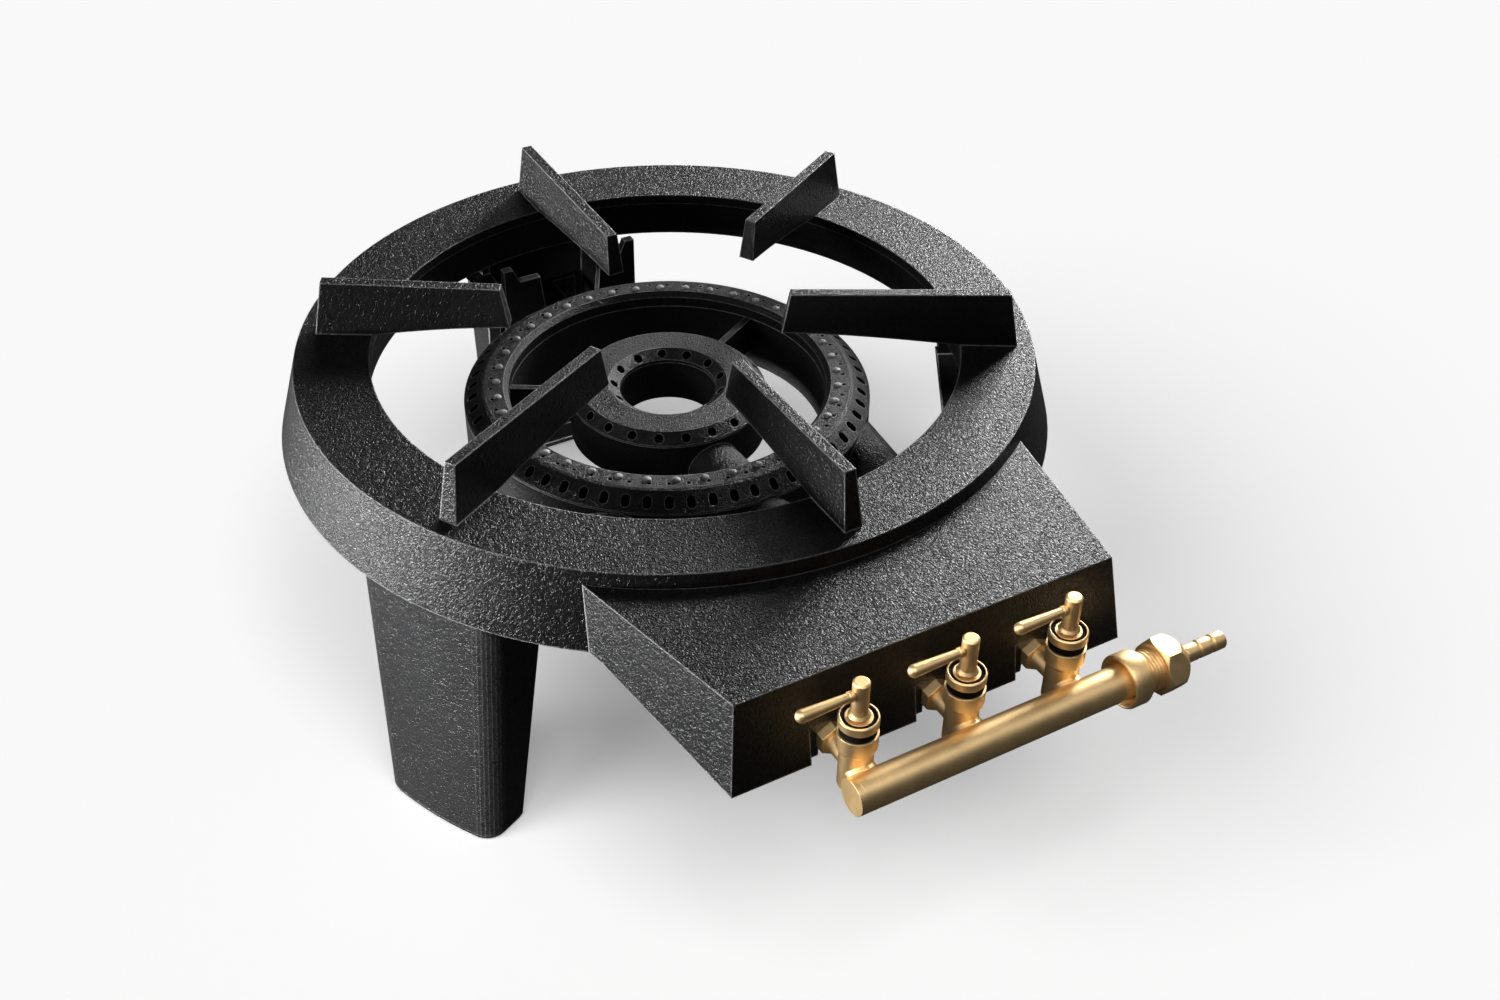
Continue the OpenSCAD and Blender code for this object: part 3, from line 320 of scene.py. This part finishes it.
def satin_brass_group():
    """Fine grain and handling marks of satin brass"""
    tree, grain, out = new_skin_group("Satin brass", "Grain")
    fine = noise(tree, grain, detail=2.0, roughness=0.5)
    smear = noise(tree, 150.0, detail=3.0, roughness=0.6)
    link(tree, fine, out.inputs["Height"])
    link(tree, smear, out.inputs["Tone"])
    link(tree, weighed(tree, (smear, 0.6), (fine, 0.4)), out.inputs["Gloss"])


def place_group(tree, name, **settings):
    """Places a node group in a material with its own settings, and gives its outputs"""
    node = tree.nodes.new("ShaderNodeGroup")
    node.node_tree = bpy.data.node_groups[name]
    for key, value in settings.items():
        node.inputs[key].default_value = value
    return node.outputs


# Finishes

def start_material(name):
    """A material with its Principled shader"""
    material = bpy.data.materials.new(name)
    material.use_nodes = True
    return material, material.node_tree, material.node_tree.nodes["Principled BSDF"]


def shade(color, factor):
    """A colour made lighter or darker"""
    return tuple(min(1.0, c * factor) for c in color)


def cast_iron(name, color, rough, grain, depth, radius, rub_and_highlight):
    """Black cast iron with wormy grain, painted shade in its pits, painted highlight on its ridges, and
    edges lightened for rubbing wear and a painted highlight
    """
    material, tree, bsdf = start_material(name)
    skin = place_group(tree, "Cast skin", Grain=grain)
    edge = place_group(tree, "Rubbed edge", Radius=radius)
    # Painted shade in the grain's pits and painted highlight on its ridges
    body = blend(tree, skin["Tone"], shade(color, PAINTED_PIT_SHADE), shade(color, PAINTED_RIDGE_HIGHLIGHT))
    # The grain breaks up the rubbed edges, which are smoother and lighter; the lighter colour is wear
    # and a painted highlight
    broken = maths(tree, "MULTIPLY", edge["Edge"], span(tree, skin["Tone"], 0.3, 1.4), clamp=True)
    lightened_edges = blend(tree, maths(tree, "MULTIPLY", broken, rub_and_highlight), body, shade(color, WORN_AND_HIGHLIGHT_SHADE))
    link(tree, lightened_edges, bsdf.inputs["Base Color"])
    matt = span(tree, skin["Gloss"], rough - 0.08, rough + 0.2)
    polish = maths(tree, "MULTIPLY", broken, 0.12)
    link(tree, maths(tree, "SUBTRACT", matt, polish), bsdf.inputs["Roughness"])
    # Upright faces keep less of the grain's depth
    facing = tree.nodes.new("ShaderNodeSeparateXYZ")
    link(tree, tree.nodes.new("ShaderNodeNewGeometry").outputs["True Normal"], facing.inputs["Vector"])
    coarse = span(tree, maths(tree, "ABSOLUTE", facing.outputs["Z"]), SIDE_GRAIN, 1.0)
    height = maths(tree, "MULTIPLY", skin["Height"], coarse)
    bumped(tree, bsdf, height, edge["Normal"], strength=1.0, depth=depth)
    return material


def satin_brass(name, color, rough, radius):
    """Satin brass with a fine grain, handling marks and softened edges"""
    material, tree, bsdf = start_material(name)
    satin = place_group(tree, "Satin brass", Grain=BRASS_GRAIN)
    edge = place_group(tree, "Rubbed edge", Radius=radius)
    body = blend(tree, satin["Tone"], shade(color, 0.86), shade(color, 1.1))
    lightened_edges = blend(tree, maths(tree, "MULTIPLY", edge["Edge"], 0.5), body, shade(color, 1.25))
    link(tree, lightened_edges, bsdf.inputs["Base Color"])
    link(tree, span(tree, satin["Gloss"], rough - 0.06, rough + 0.1), bsdf.inputs["Roughness"])
    bumped(tree, bsdf, satin["Height"], edge["Normal"], strength=0.12, depth=0.1 * MM)
    bsdf.inputs["Metallic"].default_value = 1.0
    return material


def plain_grain(name, color, rough, metallic, scale, shine):
    """A quiet material with a little grain, for seals and bolts"""
    material, tree, bsdf = start_material(name)
    grain = noise(tree, scale, detail=3.0, roughness=0.5)
    link(tree, blend(tree, grain, shade(color, 0.7), shade(color, 1.3)), bsdf.inputs["Base Color"])
    link(tree, span(tree, grain, rough - 0.08, rough + 0.08), bsdf.inputs["Roughness"])
    bsdf.inputs["Metallic"].default_value = metallic
    bsdf.inputs["Specular IOR Level"].default_value = shine
    return material


def paint(names, material):
    """Gives CAD nodes a material"""
    for name in names:
        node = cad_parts[name]
        node.data.materials.clear()
        node.data.materials.append(material)


class STOVE_OT_finishes(bpy.types.Operator):
    """Makes the finishes and paints the stove's own nodes"""
    bl_idname = "stove.finishes"
    bl_label = "Finishes"

    def execute(self, context):
        finish = context.scene.stove_finish
        cast_skin_group()
        rounded_edge_group()
        satin_brass_group()
        grain, depth, edge = finish.grain, finish.grain_depth, finish.edge_round
        paint(CASTINGS, cast_iron(
            "black cast iron", finish.iron_color, rough=0.34, grain=grain, depth=depth,
            radius=edge, rub_and_highlight=0.8))
        # The burner and its pimples have a finer grain and sharper edges
        fine = grain * 1.3
        paint(BURNER_NODES, cast_iron(
            "burner iron", finish.burner_color, rough=0.36, grain=fine, depth=depth,
            radius=edge * 0.6, rub_and_highlight=0.8))
        # The pimples are painted pale as their highlight
        cast_iron(
            "rubbed pimples", finish.pimple_color, rough=0.34, grain=fine, depth=depth * 0.5,
            radius=edge * 0.3, rub_and_highlight=0.0)
        paint(BRASS_NODES, satin_brass(
            "satin brass", finish.brass_color, rough=0.45, radius=finish.brass_round))
        paint(SEAL_NODES, plain_grain(
            "black seal", finish.seal_color, rough=0.8, metallic=0.0, scale=900.0, shine=0.15))
        paint(BOLT_NODES, plain_grain(
            "blackened bolt", finish.bolt_color, rough=0.45, metallic=0.8, scale=700.0, shine=0.5))
        return {"FINISHED"}


# Pieces made here

def finish_piece(bm, name, material, body, node=None):
    """Writes a mesh with its material, sets it on the empty of the body it rides on and hides the node
    it replaces
    """
    mesh = bpy.data.meshes.new(name)
    bm.to_mesh(mesh)
    bm.free()
    mesh.materials.append(bpy.data.materials[material])
    mesh.shade_smooth()
    mesh.set_sharp_from_angle(angle=math.radians(SHARP_FROM))
    piece = bpy.data.objects.new(name, mesh)
    bpy.context.scene.collection.objects.link(piece)
    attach(piece, body)
    if node:
        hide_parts(node)


def turn_along_x(profile, axis_y, axis_z, steps):
    """Turns a closed outline of (x, radius) points round a line along X"""
    bm = bmesh.new()
    rim = [bm.verts.new((x, axis_y, axis_z + r)) for x, r in profile]
    edges = [bm.edges.new((rim[i - 1], rim[i])) for i in range(len(rim))]
    bmesh.ops.spin(
        bm, geom=rim + edges, cent=(0.0, axis_y, axis_z), axis=(1.0, 0.0, 0.0),
        angle=math.tau, steps=steps, use_merge=True)
    bmesh.ops.remove_doubles(bm, verts=bm.verts[:], dist=1e-6)
    bmesh.ops.recalc_face_normals(bm, faces=bm.faces[:])
    return bm


def middle(box, i):
    """Middle of a node's box along one axis"""
    return (box[0][i] + box[1][i]) / 2


def half_height(box):
    """Radius of a node that lies along X"""
    return (box[1][2] - box[0][2]) / 2


class STOVE_OT_pimples(bpy.types.Operator):
    """Sets a ring of low domes on the outer burner's crown"""
    bl_idname = "stove.pimples"
    bl_label = "Crown pimples"

    def execute(self, context):
        detail = context.scene.stove_detail
        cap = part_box("outer_burner_cap")
        crown = Vector((middle(cap, 0), middle(cap, 1), cap[1][2]))
        flatten = Matrix.Diagonal((1.0, 1.0, PIMPLE_FLAT, 1.0))
        bm = bmesh.new()
        # The ring starts a quarter of a step round from +X
        for i in range(detail.pimples):
            turn = Matrix.Rotation(math.tau * (i + 0.25) / detail.pimples, 4, "Z")
            spot = crown + turn @ Vector((detail.pimple_ring, 0.0, -0.1 * MM))
            bmesh.ops.create_uvsphere(
                bm, u_segments=12, v_segments=8, radius=detail.pimple_size,
                matrix=Matrix.Translation(spot) @ flatten)
        # What lies deeper than 0.4 mm in the crown is cut away
        bmesh.ops.bisect_plane(
            bm, geom=bm.verts[:] + bm.edges[:] + bm.faces[:],
            plane_co=crown - Vector((0.0, 0.0, 0.4 * MM)), plane_no=(0.0, 0.0, 1.0), clear_inner=True)
        bmesh.ops.holes_fill(bm, edges=[e for e in bm.edges if e.is_boundary], sides=0)
        bmesh.ops.recalc_face_normals(bm, faces=bm.faces[:])
        finish_piece(bm, "crown_pimples", "rubbed pimples", "stove")
        return {"FINISHED"}


class STOVE_OT_inlet(bpy.types.Operator):
    """Turns the inlet's collar, with its countersunk mouth and thread"""
    bl_idname = "stove.inlet"
    bl_label = "Inlet collar and thread"

    def execute(self, context):
        detail = context.scene.stove_detail
        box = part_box("inlet_adapter")
        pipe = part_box("manifold_pipe")
        start, end = box[0][0], box[1][0]
        step = start + detail.collar_width
        rim = half_height(box)
        # The pipe's end sits in the socket, and the bore beyond it is 2 mm smaller in radius
        socket = half_height(pipe) + 0.05 * MM
        bore = socket - 2.0 * MM
        seat = pipe[1][0]
        crest = detail.thread_radius
        root = crest - detail.thread_depth
        pitch = detail.thread_pitch
        # Countersunk mouth, round shoulder and step down to the thread
        outline = [
            (start + 4.0 * MM, socket), (start + 0.3 * MM, rim - 1.8 * MM), (start, rim - 1.2 * MM),
            (start + 0.4 * MM, rim - 0.3 * MM), (start + 1.2 * MM, rim), (step - 3.4 * MM, rim),
            (step - 2.6 * MM, rim - 0.3 * MM), (step - 1.6 * MM, rim - 1.1 * MM),
            (step - 1.2 * MM, rim - 1.6 * MM), (step - 0.2 * MM, rim - 1.8 * MM), (step, rim - 2.2 * MM),
            (step, root)]
        x = step + 0.3 * MM
        while x + pitch < end - 0.5 * MM:
            outline += [
                (x, root), (x + 0.36 * pitch, crest), (x + 0.6 * pitch, crest), (x + 0.96 * pitch, root)]
            x += pitch
        outline += [(end, root), (end, bore), (seat, bore), (seat, socket)]
        bm = turn_along_x(outline, middle(pipe, 1), middle(pipe, 2), detail.facets)
        finish_piece(bm, "inlet_collar", "satin brass", "stove", "inlet_adapter")
        return {"FINISHED"}


class STOVE_OT_nozzle(bpy.types.Operator):
    """Turns the hose nozzle, with its lands and a rounded end"""
    bl_idname = "stove.nozzle"
    bl_label = "Hose nozzle"

    def execute(self, context):
        detail = context.scene.stove_detail
        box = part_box("hose_nozzle")
        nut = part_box("union_nut")
        back, tip = box[0][0], box[1][0]
        first = nut[1][0]
        flange = half_height(box)
        flange_end = back + 2.7 * MM
        bore, neck, land = detail.nozzle_bore, detail.nozzle_neck, detail.nozzle_land
        corner = 0.3 * MM
        outline = [(back, bore), (back, flange), (flange_end, flange), (flange_end, land), (first, land)]
        pitch = (tip - first) / detail.lands
        for i in range(detail.lands):
            low = first + i * pitch
            high = low + pitch
            rise = low + detail.groove
            # The last land is rounder
            end = 0.8 * MM if i == detail.lands - 1 else corner
            outline += [
                (low, neck), (rise, neck), (rise, land - corner), (rise + corner, land),
                (high - end, land), (high - end * 0.4, land - end * 0.25), (high, land - end)]
        outline += [(tip, bore + 0.2 * MM), (tip - corner, bore)]
        bm = turn_along_x(outline, middle(nut, 1), middle(nut, 2), detail.facets)
        finish_piece(bm, "ribbed_nozzle", "satin brass", "stove", "hose_nozzle")
        return {"FINISHED"}


# Studio

def aim(spot, target):
    """Rotation that points a light at a target"""
    return (Vector(target) - Vector(spot)).to_track_quat("-Z", "Y").to_euler()


def add_lamp(data, turn, spot=(0.0, 0.0, 0.0)):
    """Puts a light in the scene"""
    lamp = bpy.data.objects.new(data.name, data)
    lamp.location = spot
    lamp.rotation_euler = turn
    bpy.context.scene.collection.objects.link(lamp)
    return lamp


def area_light(name, spot, size, power):
    """A soft rectangular light that points at the stove"""
    data = bpy.data.lights.new(name, "AREA")
    data.shape = "RECTANGLE"
    data.size, data.size_y = size
    data.energy = power
    return add_lamp(data, aim(spot, LIGHT_TARGET), spot)


def overhead_light(name, direction, strength, spread):
    """A broad even light from far above"""
    data = bpy.data.lights.new(name, "SUN")
    data.energy = strength
    data.angle = math.radians(spread)
    return add_lamp(data, aim(direction, (0.0, 0.0, 0.0)))


def receivers(name, objects):
    """A collection for a light's linking: it meets these objects alone, unless they are excluded"""
    collection = bpy.data.collections.new(name)
    for lit in objects:
        collection.objects.link(lit)
    return collection


def light_studio(stage, floor):
    """Softboxes and cards for the stove, a light for its legs, overhead lights for floor and brass"""
    off_floor = receivers("softboxes miss the floor", [floor])
    off_floor.collection_objects[0].light_linking.link_state = "EXCLUDE"
    for name, spot, size, setting in SOFTBOXES:
        lamp = area_light(name, spot, size, getattr(stage, setting))
        lamp.light_linking.receiver_collection = off_floor
    name, spot, size, setting = LEG_LIGHT
    lamp = area_light(name, spot, size, getattr(stage, setting))
    lamp.light_linking.receiver_collection = receivers(
        "leg light meets these", [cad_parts[leg] for leg in LEG_NODES])
    brass = [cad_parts[node] for node in BRASS_NODES]
    turned = [bpy.data.objects[piece] for piece in BRASS_PIECES]
    under = receivers("overhead light meets these", [floor] + brass + turned)
    for name, way in SKIES:
        lamp = overhead_light(name, way, stage.sky_strength, stage.sky_angle)
        lamp.light_linking.receiver_collection = under


def pale_floor(light, glow, bounce):
    """A pale floor that glows a little to the eye and throws back little light"""
    material, tree, bsdf = start_material("pale floor")
    bsdf.inputs["Roughness"].default_value = 1.0
    bsdf.inputs["Specular IOR Level"].default_value = 0.0
    seen = tree.nodes.new("ShaderNodeLightPath").outputs["Is Camera Ray"]
    color = blend(tree, seen, (bounce, bounce, bounce), (0.97, 0.97, 0.97))
    link(tree, color, bsdf.inputs["Base Color"])
    bsdf.inputs["Emission Color"].default_value = (light, light, light, 1.0)
    link(tree, maths(tree, "MULTIPLY", seen, glow), bsdf.inputs["Emission Strength"])
    return material


def studio_air(scene, light, fill):
    """Pale surroundings to the eye, a dome of light that is bright above and dark low down"""
    world = bpy.data.worlds.new("studio")
    world.use_nodes = True
    scene.world = world
    tree = world.node_tree
    back = tree.nodes["Background"]
    back.inputs["Color"].default_value = (1.0, 1.0, 1.0, 1.0)
    height = tree.nodes.new("ShaderNodeSeparateXYZ")
    link(tree, tree.nodes.new("ShaderNodeTexCoord").outputs["Generated"], height.inputs["Vector"])
    dome = tree.nodes.new("ShaderNodeMapRange")
    dome.interpolation_type = "SMOOTHSTEP"
    dome.inputs["From Min"].default_value = DOME_START
    dome.inputs["From Max"].default_value = DOME_FULL
    dome.inputs["To Max"].default_value = fill
    link(tree, height.outputs["Z"], dome.inputs["Value"])
    glow = tree.nodes.new("ShaderNodeMix")
    link(tree, tree.nodes.new("ShaderNodeLightPath").outputs["Is Camera Ray"], glow.inputs["Factor"])
    link(tree, dome.outputs["Result"], glow.inputs["A"])
    glow.inputs["B"].default_value = light
    link(tree, glow.outputs["Result"], back.inputs["Strength"])


def towards_camera(azimuth, elevation):
    """Direction from the stove to the camera; azimuth 0 is the stove's front"""
    flat = math.cos(elevation)
    return Vector((math.sin(azimuth) * flat, -math.cos(azimuth) * flat, math.sin(elevation)))


def place_camera(scene, stage):
    """A camera that stands off the ring's centre, with its view panned, tilted and rolled"""
    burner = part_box("outer_burner_cap")
    az, el = math.radians(stage.azimuth), math.radians(stage.elevation)
    spot = Vector((0.0, middle(burner, 1), stage.ring_height)) + stage.distance * towards_camera(az, el)
    az += math.radians(stage.pan)
    el += math.radians(stage.tilt)
    roll = math.radians(stage.roll)
    back = towards_camera(az, el)
    right = Vector((math.cos(az), math.sin(az), 0.0))
    up = back.cross(right)
    side = right * math.cos(roll) + up * math.sin(roll)
    top = up * math.cos(roll) - right * math.sin(roll)
    data = bpy.data.cameras.new("camera")
    data.lens = stage.lens
    data.sensor_width = 36.0
    data.sensor_fit = "HORIZONTAL"
    data.clip_start = 0.01
    camera = bpy.data.objects.new("camera", data)
    camera.matrix_world = Matrix.Translation(spot) @ Matrix((side, top, back)).transposed().to_4x4()
    scene.collection.objects.link(camera)
    scene.camera = camera


class STOVE_OT_stage(bpy.types.Operator):
    """Pale floor, soft studio light and the camera"""
    bl_idname = "stove.stage"
    bl_label = "Stage"

    def execute(self, context):
        scene = context.scene
        stage = scene.stove_stage
        bm = bmesh.new()
        bmesh.ops.create_grid(bm, x_segments=1, y_segments=1, size=FLOOR_REACH)
        mesh = bpy.data.meshes.new("floor")
        bm.to_mesh(mesh)
        bm.free()
        mesh.materials.append(pale_floor(stage.floor_light, stage.floor_glow, stage.floor_bounce))
        floor = bpy.data.objects.new("floor", mesh)
        scene.collection.objects.link(floor)
        studio_air(scene, stage.floor_light, stage.fill)
        scene.view_settings.view_transform = "Standard"
        scene.view_settings.look = "None"
        light_studio(stage, floor)
        place_camera(scene, stage)
        return {"FINISHED"}


class STOVE_PT_panel(bpy.types.Panel):
    """Lists the stove's steps and settings"""
    bl_label = "Cast Iron Gas Stove"
    bl_idname = "STOVE_PT_panel"
    bl_space_type = "VIEW_3D"
    bl_region_type = "UI"
    bl_category = "Stove"

    def draw(self, context):
        layout = self.layout
        scene = context.scene
        for group in (scene.stove_finish, scene.stove_detail, scene.stove_stage):
            column = layout.column(align=True)
            for name in group.__annotations__:
                column.prop(group, name)
        for step in STEPS:
            layout.operator(step.bl_idname)


STEPS = (STOVE_OT_finishes, STOVE_OT_pimples, STOVE_OT_inlet, STOVE_OT_nozzle, STOVE_OT_stage)
CLASSES = (StoveFinish, StoveDetail, StoveStage) + STEPS + (STOVE_PT_panel,)


def register():
    for cls in CLASSES:
        bpy.utils.register_class(cls)
    bpy.types.Scene.stove_finish = PointerProperty(type=StoveFinish)
    bpy.types.Scene.stove_detail = PointerProperty(type=StoveDetail)
    bpy.types.Scene.stove_stage = PointerProperty(type=StoveStage)


def unregister():
    del bpy.types.Scene.stove_stage
    del bpy.types.Scene.stove_detail
    del bpy.types.Scene.stove_finish
    for cls in reversed(CLASSES):
        bpy.utils.unregister_class(cls)


def main():
    register()
    bpy.ops.stove.finishes()
    bpy.ops.stove.pimples()
    bpy.ops.stove.inlet()
    bpy.ops.stove.nozzle()
    bpy.ops.stove.stage()


if __name__ == "__main__":
    main()
